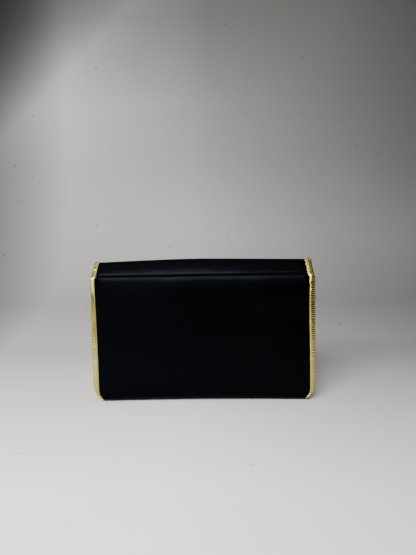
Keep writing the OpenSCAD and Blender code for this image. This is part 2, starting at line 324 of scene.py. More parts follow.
def stitches(name, points, outs, pitch, share, radius, material):
    """A row of stitches along a line of points. share is how much of the pitch a stitch covers."""
    verts, faces = [], []
    lengths = [0.0]
    for a, b in zip(points, points[1:]):
        lengths.append(lengths[-1] + (b - a).length)

    def at(distance):
        """The point and the outward direction at a distance along the row."""
        k = next(i for i in range(1, len(lengths)) if lengths[i] >= distance or i == len(lengths) - 1)
        t = (distance - lengths[k - 1]) / max(lengths[k] - lengths[k - 1], 1e-9)
        return points[k - 1].lerp(points[k], t), outs[k - 1].lerp(outs[k], t).normalized()

    count = int(lengths[-1] / pitch)
    for n in range(count):
        start, out = at((n + (1 - share) / 2) * pitch)
        end, _ = at((n + (1 + share) / 2) * pitch)
        capsule(verts, faces, start, end, out, radius)
    return new_object(name, [tuple(v) for v in verts], faces, material)


# ---- Materials ----

class Nodes:
    """Short calls for making a node material."""

    def __init__(self, name):
        self.material = bpy.data.materials.new(name)
        self.material.use_nodes = True
        self.tree = self.material.node_tree
        self.shader = self.tree.nodes["Principled BSDF"]
        self.place = self.tree.nodes.new("ShaderNodeTexCoord").outputs["Object"]

    def add(self, kind, **settings):
        node = self.tree.nodes.new(kind)
        for key, value in settings.items():
            setattr(node, key, value)
        return node

    def link(self, source, target):
        self.tree.links.new(source, target)

    def set(self, **values):
        for key, value in values.items():
            self.shader.inputs[key.replace("_", " ")].default_value = value

    def stretched(self, scale):
        """Object place, scaled by axis."""
        node = self.add("ShaderNodeMapping")
        node.inputs["Scale"].default_value = scale
        self.link(self.place, node.inputs["Vector"])
        return node.outputs["Vector"]

    def noise(self, scale, detail=3.0, place=None):
        node = self.add("ShaderNodeTexNoise")
        node.inputs["Scale"].default_value = scale
        node.inputs["Detail"].default_value = detail
        self.link(place or self.place, node.inputs["Vector"])
        return node.outputs["Fac"]

    def wave(self, scale, direction, distortion=0.0):
        node = self.add("ShaderNodeTexWave", bands_direction=direction)
        node.inputs["Scale"].default_value = scale
        node.inputs["Distortion"].default_value = distortion
        self.link(self.place, node.inputs["Vector"])
        return node.outputs["Fac"]

    def ramp(self, source, stops):
        """Maps 0..1 to colours. stops are (place, colour)."""
        node = self.add("ShaderNodeValToRGB")
        elements = node.color_ramp.elements
        while len(elements) < len(stops):
            elements.new(0.5)
        for element, (place, colour) in zip(elements, stops):
            element.position = place
            element.color = (*colour, 1)
        self.link(source, node.inputs["Fac"])
        return node.outputs["Color"]

    def remap(self, source, low, high, to_low, to_high):
        node = self.add("ShaderNodeMapRange")
        for key, value in (("From Min", low), ("From Max", high), ("To Min", to_low), ("To Max", to_high)):
            node.inputs[key].default_value = value
        self.link(source, node.inputs["Value"])
        return node.outputs["Result"]

    def maths(self, operation, a, b):
        node = self.add("ShaderNodeMath", operation=operation)
        for socket, value in zip(node.inputs, (a, b)):
            if isinstance(value, (int, float)):
                socket.default_value = value
            else:
                self.link(value, socket)
        return node.outputs["Value"]

    def times(self, a, b):
        """One colour or value multiplied by another."""
        node = self.add("ShaderNodeMix", data_type="RGBA", blend_type="MULTIPLY")
        node.inputs["Factor"].default_value = 1.0
        self.link(a, node.inputs["A"])
        self.link(b, node.inputs["B"])
        return node.outputs["Result"]

    def bump(self, height, distance, strength, below=None):
        """A surface normal. below is the normal of a coarser relief that this one lies on."""
        node = self.add("ShaderNodeBump")
        node.inputs["Distance"].default_value = distance
        node.inputs["Strength"].default_value = strength
        self.link(height, node.inputs["Height"])
        if below:
            self.link(below, node.inputs["Normal"])
        return node.outputs["Normal"]

    def done(self, colour, roughness, normal=None):
        """Joins the parts to the shader and gives back the material."""
        for source, key in ((colour, "Base Color"), (roughness, "Roughness"), (normal, "Normal")):
            if source:
                self.link(source, self.shader.inputs[key])
        return self.material


def weave(nodes, threads_x, threads_z):
    """Height of a woven surface: two sets of bands, crossing."""
    return nodes.maths("MULTIPLY", nodes.wave(threads_x, "X"), nodes.wave(threads_z, "Z"))


def satin_material():
    """Heavy black satin: a fine warp-faced weave, soft blue-grey sheen and faint rubbed patches."""
    n = Nodes("black_satin")
    worn = n.noise(14.0, 4.0)
    fine = n.noise(900.0, 2.0)
    colour = n.ramp(worn, [(0.3, (0.00025, 0.0003, 0.0006)), (0.75, (0.0005, 0.0006, 0.0010))])
    roughness = n.remap(worn, 0.3, 0.75, 0.30, 0.38)
    slubs = n.noise(1.0, 2.0, n.stretched((90.0, 900.0, 900.0)))
    normal = n.bump(weave(n, 520.0, 260.0), 0.03 * MM, 0.5)
    normal = n.bump(slubs, 0.05 * MM, 0.35, normal)
    normal = n.bump(fine, 0.02 * MM, 0.3, normal)
    n.set(Sheen_Weight=0.004, Sheen_Roughness=0.35, Sheen_Tint=(0.45, 0.55, 0.95, 1))
    n.set(Specular_IOR_Level=0.034, Specular_Tint=(0.70, 0.80, 1.0, 1))
    return n.done(colour, roughness, normal)


def lining_material():
    """Black twill: diagonal ribs and a dull surface."""
    n = Nodes("lining_twill")
    patches = n.noise(30.0)
    colour = n.ramp(patches, [(0.3, (0.0022, 0.0022, 0.0030)), (0.7, (0.0045, 0.0045, 0.0060))])
    ribs = n.wave(420.0, "DIAGONAL", 0.6)
    normal = n.bump(ribs, 0.05 * MM, 0.6)
    n.set(Sheen_Weight=0.03, Sheen_Roughness=0.4, Specular_IOR_Level=0.12)
    return n.done(colour, n.remap(patches, 0.3, 0.7, 0.5, 0.65), normal)


def gold_material():
    """Metallic foil on leather: painted shade darkens it in its creases; unevenly polished, with a fine
    grain.
    """
    n = Nodes("gold_leather")
    blotches = n.noise(120.0, 4.0)
    creases = n.noise(1.0, 5.0, n.stretched((260.0, 260.0, 900.0)))
    # Painted shade: the colour is darker where the crease relief dips.
    colour = n.ramp(creases, [
        (0.25, (0.33, 0.26, 0.06)), (0.42, (0.54, 0.455, 0.115)), (0.65, (0.68, 0.58, 0.14))])
    roughness = n.remap(blotches, 0.3, 0.7, 0.12, 0.22)
    grain = n.noise(1500.0, 3.0)
    normal = n.bump(creases, 0.05 * MM, 0.55)
    normal = n.bump(grain, 0.02 * MM, 0.25, normal)
    n.set(Metallic=1.0)
    return n.done(colour, roughness, normal)


def thread_material(name, dark, light):
    """Twisted thread, with painted shade: dark in the grooves of its twist and light on its ridges."""
    n = Nodes(name)
    twist = n.wave(700.0, "DIAGONAL", 1.0)
    # Painted shade: the thread's colour is dark where the twist's relief dips.
    colour = n.ramp(twist, [(0.2, dark), (0.8, light)])
    n.set(Sheen_Weight=0.4, Sheen_Roughness=0.3)
    return n.done(colour, n.remap(twist, 0.0, 1.0, 0.45, 0.6), n.bump(twist, 0.04 * MM, 0.6))


def metal_material(name, dark, light, rough):
    """Plated or bare metal with fine scratches and a slightly uneven tone."""
    n = Nodes(name)
    tone = n.noise(200.0, 3.0)
    scratches = n.noise(1.0, 4.0, n.stretched((300.0, 300.0, 4000.0)))
    colour = n.ramp(tone, [(0.3, dark), (0.7, light)])
    roughness = n.remap(scratches, 0.3, 0.7, rough, rough + 0.12)
    n.set(Metallic=1.0)
    return n.done(colour, roughness, n.bump(scratches, 0.01 * MM, 0.4))


SATIN = satin_material()
LINING = lining_material()
GOLD = gold_material()
GOLD_THREAD = thread_material("gold_thread", (0.30, 0.21, 0.07), (0.80, 0.66, 0.33))
BLACK_THREAD = thread_material("black_thread", (0.003, 0.003, 0.004), (0.012, 0.012, 0.015))
PLATING = metal_material("snap_plating", (0.62, 0.47, 0.20), (0.83, 0.67, 0.34), 0.16)
STEEL = metal_material("snap_steel", (0.40, 0.40, 0.42), (0.60, 0.60, 0.62), 0.30)


# ---- The outline that the binding and the panels share ----

CORNER_WIDE = 11 * MM
CORNER_TALL = 21 * MM
NOSE = 2.2 * MM  # over this length the binding's end closes
BINDING_LOW = 6.3 * MM  # width low down
BINDING_TOP = {-1: 5.3 * MM, 1: 7.2 * MM}  # width at the fold above, left and right


def corner_in(up):
    """How far the outline's lower corner has come in, at a distance above the panel's lower edge."""
    k = min(max((CORNER_TALL - up) / CORNER_TALL, 0.0), 0.999)
    return CORNER_WIDE * (1 - math.sqrt(1 - k * k))


def binding_width(up, length, side):
    """Width of the binding seen flat. It was trimmed by hand, so it changes towards the fold above."""
    on_spine = smooth((up - length - 0.5 * MM) / (1.5 * MM))
    return mix(BINDING_LOW, BINDING_TOP[side], smooth((up / length - 0.25) / 0.75)) + 1.2 * MM * on_spine


def binding_inner(up, length, side):
    """Distance of the binding's inner edge from the bag's side, at a distance above the lower edge."""
    return binding_width(up, length, side) + 4.6 * MM * bell(up, 0, 5 * MM)


# ---- Gold bindings ----

RIB = 2.1 * MM  # from one rib to the next
RING_POINTS = 48
STITCHED_ABOVE = 7 * MM
STITCH_INSET = 1.1 * MM
SQUARENESS = 0.8  # power that makes the section squarer than an ellipse, which has 1


def rounded_square(t):
    """Sharpens a sine or a cosine, so that the curve it draws has squarer corners."""
    return math.copysign(abs(t) ** SQUARENESS, t)


def thinned(up):
    """A binding is pressed thinner near its lower corner."""
    return mix(0.72, 1.0, smooth(up / (16 * MM)))


def gold_ring(u, side, outer, inner, half_t, along, crumpled):
    """One ring of a binding's convex section, from outer to inner distance from the bag's side.

    Ribs cross it, deepest at its edges. A fine line runs along it, and slanting creases cross it
    where it is crumpled.
    """
    centre, reach = (outer + inner) / 2, (inner - outer) / 2
    shifted = 0.25 * wobble(along, side, 6.1, 8 * MM)
    pressed = 0.12 * (1 + 0.7 * wobble(along, side, 21.3, 6 * MM))
    ring = []
    for k in range(RING_POINTS):
        angle = 2 * math.pi * k / RING_POINTS
        across, level = rounded_square(math.cos(angle)), -rounded_square(math.sin(angle))
        dip = max(math.cos(2 * math.pi * (along / RIB + shifted)), 0) ** 2
        rib = 1 - pressed * dip * (0.35 + 0.65 * abs(across) ** 1.6)
        slant = wobble(along + across * reach, side, 14.2, 3.2 * MM)
        crease = crumpled * max(1 - 5 * abs(slant), 0) + 0.08 * bell(across, 0.3, 0.09)
        y, z = on_strip(BOUND_LINE, u, level * half_t * rib * (1 - crease))
        ring.append((side * (BAG_HALF - centre + across * reach * rib), y, z))
    return ring


def binding(name, us, side, length, rounded_top):
    """A gold binding from mid-spine to a panel's lower corner. length is the panel's length.

    rounded_top takes the sharpness off its corner at the panel's top fold.
    """
    run = travelled(BOUND_LINE, us, -GOLD_HALF_T)
    rings = []
    for u, s in zip(us, run):
        up = run[-1] - s
        crease = 0.14 * bell(up, length + 0.6 * MM, 0.9 * MM)
        close = closing(up, NOSE)
        wander = 0.10 * MM * wobble(up, side, 3.1, 9 * MM)
        outer = corner_in(up) + wander + 0.8 * MM * smooth((up - length) / (1.5 * MM))
        if rounded_top:
            outer += 1.2 * MM * bell(up, length, 2.0 * MM)
        inner = binding_inner(up, length, side) + wander
        uneven = 1 + 0.03 * wobble(up, side, 8.7, 6 * MM)
        half_t = GOLD_HALF_T * thinned(up) * close * (1 - crease) * uneven
        centre, reach = (outer + inner) / 2, (inner - outer) / 2 * mix(0.5, 1.0, close)
        crumpled = mix(0.006, 0.018, smooth((up / length - 0.55) / 0.3))
        crumpled += 0.05 * smooth((up - length) / (2 * MM))
        rings.append(gold_ring(u, side, centre - reach, centre + reach, half_t, s, crumpled))
    return loft(name, rings, GOLD)


def binding_stitches(name, us, side, length, face):
    """Thread along a binding's inner edge, on its outer face (-1) or its inner face (1).

    It stops short of the lower corner.
    """
    run = travelled(BOUND_LINE, us, -GOLD_HALF_T)
    points, outs = [], []
    for u, s in zip(us, run):
        up = run[-1] - s
        if up < STITCHED_ABOVE:
            continue
        inner = binding_inner(up, length, side)
        level = face * GOLD_HALF_T * 0.86 * thinned(up)
        here, deeper = on_strip(BOUND_LINE, u, level), on_strip(BOUND_LINE, u, level / 2)
        out = (here - deeper).normalized()
        points.append(Vector((side * (BAG_HALF - inner + STITCH_INSET), *here)))
        outs.append(Vector((-side * 0.45, *out)).normalized())
    return stitches(name, points, outs, RIB, 0.7, 0.17 * MM, GOLD_THREAD)


# ---- Padded panels ----

EDGE_R = 1.6 * MM  # radius of a panel's free side edges
LINED = 0.8 * MM   # the lining lies this deep in a panel's inner face


def closing(up, radius):
    """How open a rounded end is, from 0 to 1, at a distance from its tip."""
    return math.sqrt(max(1 - (1 - min(max(up / radius, 0.0), 1.0)) ** 2, 0.0004))


def tip_shares():
    """Shares from 1 to 0 along a rounded end, closer together at its tip."""
    steps = 8
    return [1 - math.sin(math.pi / 2 * k / steps) for k in range(steps + 1)]


def round_end(us, line_end, run_length, radius):
    """Adds close stations over the last radius of a run that ends at line_end."""
    step = 1 if line_end > us[0] else -1
    reach = step * radius / run_length
    kept = [u for u in us if (line_end - reach - u) * step > 0]
    return kept + [line_end - reach * share for share in tip_shares()]


def across(w, columns):
    """Places across a panel, closer together towards its side edges."""
    for k in range(columns + 1):
        t = 2 * k / columns - 1
        yield w * mix(t, math.sin(math.pi / 2 * t), 0.7)


def panel(name, us, half_width, levels, columns, lift=None, free_sides=None):
    """A closed, padded panel. levels(u, x, w) gives its outer and inner level.

    free_sides(u) is how far its side edges are rounded, from 0 to 1.
    """
    rings = []
    for u in us:
        w = half_width(u)
        outer_side, inner_side = [], []
        for x in across(w, columns):
            outer, inner = levels(u, x, w)
            if free_sides:
                open_now = mix(1.0, closing(w - abs(x), EDGE_R), free_sides(u))
                middle_level = (outer + inner) / 2
                outer = mix(middle_level, outer, open_now)
                inner = mix(middle_level, inner, open_now)
            shift = lift(u, x) if lift else Vector((0, 0, 0))
            outer_side.append(Vector((x, *on_strip(LINE, u, outer))) + shift)
            inner_side.append(Vector((x, *on_strip(LINE, u, inner))) + shift)
        rings.append(outer_side + inner_side[::-1])
    return loft(name, rings, SATIN)


def window(x, w, soft):
    """1 inside a width and 0 at its edges, with a soft shoulder."""
    return smooth((w - abs(x)) / soft)


def edged_levels(up, hem, bulge):
    """Outer and inner level at a distance from a rounded free edge. The satin is turned in as far as hem."""
    open_now = closing(up, HALF_T)
    turned_in = smooth((hem - up) / (1 * MM))
    return (-HALF_T - bulge) * open_now, (HALF_T - LINED * (1 - turned_in)) * open_now


# The flap and the front half of the spine

LIP_ARC = HALF_T * fold_turn(LINE, 4)
ARCH = 2.5 * MM  # the lower edge's middle stands this much above its corners
FLAP_HEM = 9 * MM
PADDING_SIDE = 12 * MM  # the padding runs out over this width at a panel's sides


def flap_distance(u):
    """Distance down the flap from the middle of the lip, negative on the spine."""
    if u < ON_FLAP - 1:
        return (u - ON_FLAP + 1) * SPINE_LENGTH - LIP_ARC / 2
    if u < ON_FLAP:
        return (u - ON_FLAP + 0.5) * LIP_ARC
    return (u - ON_FLAP) * FLAP_LENGTH + LIP_ARC / 2


def flap_up(u):
    """Distance up the flap from its lower edge."""
    return max(FLAP_LENGTH + LIP_ARC / 2 - flap_distance(u), 0.0)


def bound_half_width(up, length):
    """Half width of a bound panel, whose sides end inside the binding."""
    inner = (binding_inner(up, length, -1) + binding_inner(up, length, 1)) / 2
    return BAG_HALF - (corner_in(up) + inner) / 2


def flap_half_width(u):
    """Half width of the flap. The spine is as wide as the flap's top."""
    return bound_half_width(min(flap_up(u), FLAP_LENGTH), FLAP_LENGTH)


def past_groove(d):
    """Distance from the groove, at a distance down the flap from the middle of the lip."""
    return d + GROOVE + LIP_ARC / 2


def into_groove(height, x, distance):
    """A height above the flat satin, which runs out into the groove at a distance from it."""
    deep = 0.12 * MM * (1 + 0.5 * wobble(x, 0, 1.3, 20 * MM))
    kept = smooth(distance / (1.2 * MM))
    return height * kept - deep * (1 - kept)


def lip_shape(x, d):
    """The satin swells out of the groove, rolls over the lip and runs out down the flap."""
    swell = 1.4 * MM * (1 - math.exp(-past_groove(d) / (3.2 * MM)))
    roll = 0.6 * MM * (1 - math.exp(-max(d, 0.0) / (2.5 * MM)))
    slack = 1 + 0.2 * wobble(x, 0, 2.2, 30 * MM) + 0.4 * smooth((x + 10 * MM) / (80 * MM))
    kept = 1 - smooth((d - 6 * MM) / (40 * MM))
    pucker = 0.5 * MM * bell(x, -32 * MM, 5 * MM) * bell(d, -2 * MM, 3 * MM)
    return (swell + roll) * slack * kept - pucker


def flap_outer(u, x, w):
    """Height of the satin above the flat outer level."""
    d = flap_distance(u)
    soft = window(x, w, PADDING_SIDE)
    crown = 1.25 * MM * smooth((d - 1 * MM) / (22 * MM)) * smooth(flap_up(u) / (14 * MM))
    ripple = 0.14 * MM * wobble(x, d * 0.6, 6.4, 28 * MM) + 0.05 * MM * wobble(x, d, 9.8, 9 * MM)
    tuck = -0.25 * MM * (1 - window(x, w - 3 * MM, 4 * MM))
    height = soft * crown + window(x, w, 8 * MM) * lip_shape(x, d) + ripple * soft + tuck
    return into_groove(height, x, past_groove(d))


def flap_levels(u, x, w):
    """Outer and inner level of the flap and the front half of the spine."""
    return edged_levels(flap_up(u), FLAP_HEM, flap_outer(u, x, w))


def flap_lift(u, x):
    """The lower edge arches up a little between its corners."""
    rise = ARCH * (1 - (x / BAG_HALF) ** 2) * smooth((35 * MM - flap_up(u)) / (35 * MM))
    return Vector((0, *(-FLAP_WAY * rise)))


# The back wall, the rear half of the spine and the rear half of the base

def back_up(u):
    """Distance up the back wall from its lower edge."""
    return min(max(u - ON_BACK, 0.0), 1.0) * BACK_LENGTH


def back_half_width(u):
    """Half width of the back wall and the base. Both narrow towards the rear fold between them."""
    if u < ON_BASE + 1:
        return min(BASE_HALF, REAR_HALF + (ON_BASE + 1 - u) * (REAR_FOLD - FRONT_FOLD).length)
    return min(bound_half_width(back_up(u), BACK_LENGTH), REAR_HALF + 4 * back_up(u))


def ridge_hump(up, x, w):
    """The ridge stands up a little, most of all left of its middle."""
    hump = 0.6 * MM * window(x, w, 50 * MM) + 1.7 * MM * bell(x, -10 * MM, 60 * MM) * window(x, w, 20 * MM)
    return hump * smooth((up - BACK_LENGTH + 12 * MM) / (12 * MM))


def back_outer(u, x, w):
    """Height of the satin above the flat outer level. On the spine it is slack and uneven."""
    up = back_up(u)
    soft = window(x, w, PADDING_SIDE)
    crown = 1.1 * MM * smooth((up - 6 * MM) / (20 * MM)) * smooth((BACK_LENGTH - up) / (20 * MM))
    ripple = 0.15 * MM * wobble(x, up * 0.6, 7.7, 30 * MM) * smooth(up / (12 * MM))
    along = max(u - ON_SPINE, 0.0) * SPINE_LENGTH
    slack = 1 + 0.35 * wobble(x, 0, 5.9, 40 * MM) + 0.25 * wobble(x, along, 3.9, 14 * MM)
    ahead = (ON_GROOVE - u) * SPINE_LENGTH
    left = ahead / (along + ahead)
    strip = 4.6 * MM * slack * (1 - left) * left
    height = soft * (crown + ripple + strip) + ridge_hump(up, x, w) * min(left, 1.0)
    return into_groove(height, x, ahead)


def back_levels(u, x, w):
    """Outer and inner level of the back wall and the panels that join it."""
    return -HALF_T - back_outer(u, x, w), HALF_T - LINED


def back_free_sides(u):
    """The base's ends are free. Above them the binding covers the edges."""
    return 1 - smooth((back_up(u) - 5 * MM) / (4 * MM))


# The front wall and the front half of the base

FRONT_HEM = 10 * MM


def front_free_sides(_u):
    """The front wall has no binding, so its sides are free all the way."""
    return 1.0


def front_half_width(u):
    """Half width of the front wall, which changes to the base's round the front fold."""
    return mix(FRONT_HALF, BASE_HALF, smooth(u - 1))


def front_down(u):
    """Distance down from the front wall's top edge."""
    return min(u, 1.0) * FRONT_LENGTH


def front_levels(u, x, w):
    """Outer and inner level of the front wall and the front half of the base."""
    down = front_down(u)
    ripple = 0.10 * MM * wobble(x, down, 4.4, 26 * MM) * smooth((1 - u) / 0.1)
    return edged_levels(down, FRONT_HEM, ripple * window(x, w, 9 * MM))


# ---- Linings ----

LINING_T = 0.45 * MM
LINING_LEVEL = HALF_T - LINED / 2 + 0.1 * MM
LINING_COLUMNS = 50
OFF_HEM = 0.5 * MM  # the lining stops this far short of the turned-in satin


def lining_stations(first, last):
    """Close stations. In a fold the lining has one crease, so it needs no steps round it."""
    return stations(LINE, first, last, spacing=1.0 * MM, fold_steps=1)


def lining(name, us, half_width, inset):
    """A lining cloth on the inner face of a run of panels. inset is its distance from their sides."""
    rows = []
    for u, along in zip(us, travelled(LINE, us, LINING_LEVEL)):
        w = half_width(u) - inset
        row = []
        for x in across(w, LINING_COLUMNS):
            ease = 0.10 * MM * wobble(x, along, 12.5, 16 * MM) * window(x, w, 4 * MM)
            row.append(Vector((x, *on_strip(LINE, u, LINING_LEVEL + ease))))
        rows.append(row)
    return cloth(name, rows, LINING, LINING_T)


# ---- Gussets ----

GUSSET_LOW = 2 * HALF_T + 0.6 * MM
GUSSET_HIGH = FRONT_EDGE.y - 3 * MM
FOLD_LOW = 3 * MM  # depth of the fold at the foot
FOLD_HIGH = size("gusset_right").x - 1.5 * MM
SEAM = 4.5 * MM  # width sewn to each wall
SEAM_STEPS = 3
LEAF_STEPS = 9  # on each side of the fold
GUSSET_ROWS = 40
GUSSET_T = 0.5 * MM
GUSSET_CLEAR = HALF_T + 0.1 * MM + GUSSET_T / 2


def wall_y(low_point, high_point, z, q):
    """Where a wall's inner side, at level q, stands at a height."""
    way = (high_point - low_point).normalized()
    return low_point.x + way.x / way.y * (z - low_point.y) + q / way.y


def gusset(side):
    """A V-folded side panel whose edges are sewn flat on the front and back walls."""
    rows = []
    edge = FRONT_HALF - 2.5 * MM
    seam = [edge - SEAM * k / SEAM_STEPS for k in range(1, SEAM_STEPS + 1)]
    for r in range(GUSSET_ROWS + 1):
        t = r / GUSSET_ROWS
        z = mix(GUSSET_LOW, GUSSET_HIGH, t)
        front = wall_y(FRONT_FOLD, FRONT_TOP, z, GUSSET_CLEAR)
        back = wall_y(REAR_FOLD, RIDGE, z, -GUSSET_CLEAR)
        depth = mix(FOLD_LOW, FOLD_HIGH, t)
        row = [Vector((side * x, front, z)) for x in reversed(seam)]
        for k in range(2 * LEAF_STEPS + 1):
            c = k / (2 * LEAF_STEPS)
            reach = 1 - abs(2 * c - 1) ** 1.15
            soft = 0.25 * MM * wobble(z, c * 40 * MM, 20 + side, 18 * MM)
            row.append(Vector((side * (edge - depth * reach + soft), mix(front, back, c), z)))
        row += [Vector((side * x, back, z)) for x in seam]
        rows.append(row)
    return cloth("gusset_left_cloth" if side < 0 else "gusset_right_cloth", rows, SATIN, GUSSET_T)


# ---- Pocket on the back lining ----

POCKET_HALF = size("pocket_panel").x / 2
POCKET_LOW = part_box("pocket_panel")[0].z
POCKET_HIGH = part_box("pocket_panel")[1].z
TAPE_TALL = 5 * MM


def back_station(z):
    """The station on the back wall at a height, on its inner face."""
    low, high = on_strip(LINE, ON_BACK, HALF_T), on_strip(LINE, ON_BACK + 1, HALF_T)
    return ON_BACK + (z - low.y) / (high.y - low.y)


def pocket_level(x, z):
    """The pocket stands a little off the lining, except at its sewn sides and foot."""
    up = (z - POCKET_LOW) / (POCKET_HIGH - POCKET_LOW)
    free = window(x, POCKET_HALF, 9 * MM) * smooth(up / 0.25)
    ease = 0.15 * MM * wobble(x, z, 15.5, 18 * MM)
    return HALF_T + 0.45 * MM + (1.15 * MM + ease) * free


def pocket_cloth():
    """The pocket's one panel, sewn on at its sides and foot."""
    rows, steps, columns = [], 28, 60
    for r in range(steps + 1):
        z = mix(POCKET_LOW, POCKET_HIGH, r / steps)
        rows.append([Vector((x, *on_strip(LINE, back_station(z), pocket_level(x, z))))
                     for x in across(POCKET_HALF, columns)])
    return cloth("pocket_cloth", rows, LINING, LINING_T)


def pocket_binding():
    """A narrow gold tape folded over the pocket's top edge."""
    half, columns, sides = POCKET_HALF - 0.5 * MM, 90, 16
    rings = []
    for x in across(half, columns):
        end = closing(half - abs(x), 1.2 * MM)
        ring = []
        for k in range(sides):
            angle = 2 * math.pi * k / sides
            z = POCKET_HIGH - TAPE_TALL / 2 + 0.3 * MM + TAPE_TALL / 2 * math.sin(angle) * end
            off = 0.55 * MM * math.copysign(abs(math.cos(angle)) ** 0.6, math.cos(angle)) * end
            ring.append(Vector((x, *on_strip(LINE, back_station(z), pocket_level(x, POCKET_HIGH) + off))))
        rings.append(ring)
    return loft("pocket_gold_tape", rings, GOLD)


def pocket_stitches():
    """Black stitches down one side, along the foot and up the other side."""
    inset, steps = 1.6 * MM, 40
    edge, foot, top = POCKET_HALF - inset, POCKET_LOW + inset, POCKET_HIGH - TAPE_TALL
    corners = [(-edge, top), (-edge, foot), (edge, foot), (edge, top)]
    points = []
    for (xa, za), (xb, zb) in zip(corners, corners[1:]):
        points += [(mix(xa, xb, k / steps), mix(za, zb, k / steps)) for k in range(steps)]
    points.append(corners[-1])
    levels = [pocket_level(x, z) + LINING_T / 2 for x, z in points]
    spots = [Vector((x, *on_strip(LINE, back_station(z), q))) for (x, z), q in zip(points, levels)]
    out = Vector((0, *inward(BACK_WAY)))
    return stitches("pocket_stitches", spots, [out] * len(spots), 2.4 * MM, 0.65, 0.16 * MM, BLACK_THREAD)


# ---- Magnetic snap ----

def lathe(name, centre, axis, profile, material):
    """A turned piece. profile is a list of (radius, height along the axis) from the centre out and back."""
    sides, count = 48, len(profile)
    side = Vector((1, 0, 0))
    other = axis.cross(side)
    verts, faces = [], []
    for k in range(sides):
        angle = 2 * math.pi * k / sides
        away = side * math.cos(angle) + other * math.sin(angle)
        verts += [tuple(centre + away * r + axis * h) for r, h in profile]
        for j in range(count - 1):
            a, b = k * count + j, (k + 1) % sides * count + j
            faces.append((a, b, b + 1, a + 1))
    return new_object(name, verts, faces, material)


def rounded(radius, low, high, edge):
    """Profile points round the rim of a disc with rounded edges, from its low face to its high face."""
    points, steps = [], 6
    for k in range(steps + 1):
        angle = -math.pi / 2 + math.pi * k / steps
        centre = low + edge if k <= steps // 2 else high - edge
        points.append((radius - edge + edge * math.cos(angle), centre + edge * math.sin(angle)))
    return points


def snap_place(way, start, node):
    """The point of a panel's middle line beside a snap half."""
    return start + way * (middle(node).yz - start).dot(way)


SNAP_R = size("snap_socket_back").x / 2 - 0.5 * MM
STUD_R = size("snap_stud").x / 2
STUD_HOLE_R = STUD_R + 0.5 * MM
PLATE_T = 1.0 * MM
SOCKET_T = SNAP_GAP - PLATE_T - 0.3 * MM
FLAP_SNAP = snap_place(FLAP_WAY, LIP, "snap_stud")
FRONT_SNAP = snap_place(FLAP_WAY, FRONT_TOP, "snap_magnet")
SNAP_AXIS = Vector((0, *inward(FLAP_WAY)))


def flap_snap():
    """The flap's half: a dished disc with a raised rim, and a waisted stud riveted through it."""
    plate_top = HALF_T + PLATE_T
    stud_top = HALF_T + SNAP_GAP - 0.5 * MM
    profile = [(0, HALF_T)] + rounded(SNAP_R, HALF_T, plate_top, 0.35 * MM)
    profile += [  # the dish
        (SNAP_R - 1.4 * MM, plate_top), (SNAP_R - 1.8 * MM, plate_top - 0.25 * MM),
        (STUD_R + 1.2 * MM, plate_top - 0.25 * MM), (STUD_R + 0.5 * MM, plate_top)]
    profile += [  # the stud's waist
        (STUD_R, plate_top + 0.15 * MM), (STUD_R - 0.25 * MM, plate_top + 0.6 * MM)]
    profile += [  # its head, with a dimple
        (STUD_R, stud_top - 0.6 * MM), (STUD_R - 0.2 * MM, stud_top - 0.15 * MM),
        (STUD_R - 0.6 * MM, stud_top), (STUD_R * 0.35, stud_top),
        (STUD_R * 0.25, stud_top - 0.2 * MM), (0, stud_top - 0.2 * MM)]
    centre = Vector((0, *FLAP_SNAP))
    return lathe("snap_flap_half", centre, SNAP_AXIS, profile, PLATING)


def front_snap():
    """The front wall's half: a domed cup round the hole for the stud."""
    face = -HALF_T - SOCKET_T
    back = -HALF_T
    edge = 0.5 * MM
    profile = [(0, back)] + [(r, back + face - h) for r, h in rounded(SNAP_R, face, back, edge)]
    profile += [  # the dish
        (SNAP_R - 1.6 * MM, face), (SNAP_R - 2.0 * MM, face + 0.2 * MM),
        (STUD_HOLE_R + 0.8 * MM, face + 0.2 * MM), (STUD_HOLE_R + 0.35 * MM, face)]
    profile += [  # the hole
        (STUD_HOLE_R, face + 0.3 * MM), (STUD_HOLE_R, back - 0.4 * MM), (0, back - 0.4 * MM)]
    return lathe("snap_front_half", Vector((0, *FRONT_SNAP)), SNAP_AXIS, profile, PLATING)


# ---- Building the bag ----

def declare_lining(us):
    """A lining's flat length is measured along the strip, at the lined face."""
    travelled(LINE, us, HALF_T)[-1]


def build_flap():
    """The flap with the front half of the spine, and their lining."""
    at_lip = stations(LINE, ON_GROOVE, ON_FLAP, spacing=0.4 * MM, fold_steps=14)
    on_flap = stations(LINE, ON_FLAP, LINE_END, spacing=1.6 * MM, fold_steps=1)
    us = at_lip[:-1] + round_end(on_flap, LINE_END, FLAP_LENGTH, 2 * HALF_T)
    cover = panel("flap_cover", us, flap_half_width, flap_levels, columns=110, lift=flap_lift)
    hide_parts("flap_satin", "flap_wadding", "flap_board", "lip_fold_tape")
    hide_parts("spine_satin", "spine_wadding", "spine_board")
    lined = [u for u in lining_stations(MID_SPINE, LINE_END) if flap_up(u) > FLAP_HEM + OFF_HEM]
    inside = lining("flap_inside", lined, flap_half_width, 1.0 * MM)
    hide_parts("flap_lining", "spine_lining")
    declare_lining(lined)
    for piece, slot in ((cover, "black_satin"), (inside, "lining")):
        bend_at_lip(piece)


def bend_at_lip(piece):
    """Bakes the piece's transform into its mesh."""
    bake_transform(piece)


def bend_at_ridge(piece):
    """Bakes the piece's transform into its mesh."""
    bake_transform(piece)


def bend_at_front(piece):
    """Bakes the piece's transform into its mesh."""
    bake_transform(piece)


